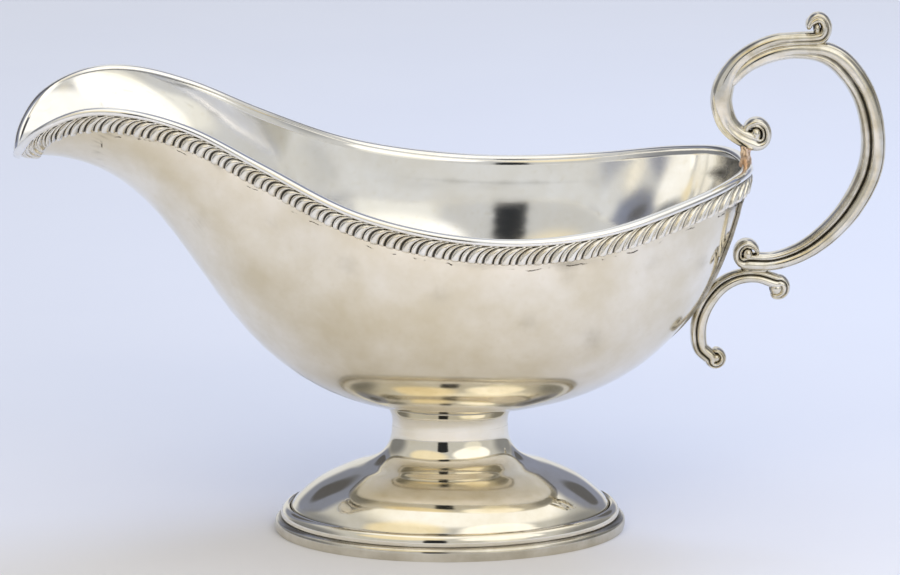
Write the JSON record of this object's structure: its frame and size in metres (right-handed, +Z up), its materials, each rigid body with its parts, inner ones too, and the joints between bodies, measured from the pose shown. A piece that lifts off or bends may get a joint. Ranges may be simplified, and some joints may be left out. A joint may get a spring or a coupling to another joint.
{
  "type": "sauce boat",
  "caption": "Silver-plated sauce boat: deep oval bowl with a flared pouring lip, gadroon border, scroll handle at the back and a spreading oval pedestal foot.",
  "frame": {"origin": "middle of the box round the boat on the plane that it stands on, which is within half a millimetre of the middle of the foot", "axes": "+X along the boat from the lip to the handle, +Y across it, +Z up"},
  "size_m": [0.21, 0.0912, 0.1268],
  "materials": {
    "bowl": "polished silver plate with soft yellow tarnish",
    "rim_wire": "bright worn silver plate",
    "gadroon_border_near": "silver plate, dark tarnish in the grooves",
    "gadroon_border_far": "silver plate, dark tarnish in the grooves",
    "foot_base_band": "polished silver plate, brown tarnish spots",
    "foot_moulding": "polished silver plate",
    "pedestal": "mirror-polished silver plate",
    "neck_collar": "mirror-polished silver plate",
    "handle_front_scroll": "polished silver plate with yellow tarnish",
    "handle_main_scroll": "polished silver plate, dark tarnish in the flutes",
    "handle_lower_scroll": "polished silver plate with yellow tarnish",
    "handle_plate": "polished silver plate",
    "rim_strut": "soldered post with coppery tarnish"
  },
  "bodies": {
    "root": {"bowl": "bowl", "rim_wire": "rim_wire", "gadroon_border_near": "gadroon_border_near", "gadroon_border_far": "gadroon_border_far", "foot_base_band": "foot_base_band", "foot_moulding": "foot_moulding", "pedestal": "pedestal", "neck_collar": "neck_collar", "handle_front_scroll": "handle_front_scroll", "handle_main_scroll": "handle_main_scroll", "handle_lower_scroll": "handle_lower_scroll", "handle_plate": "handle_plate", "rim_strut": "rim_strut"}
  },
  "joints": []
}
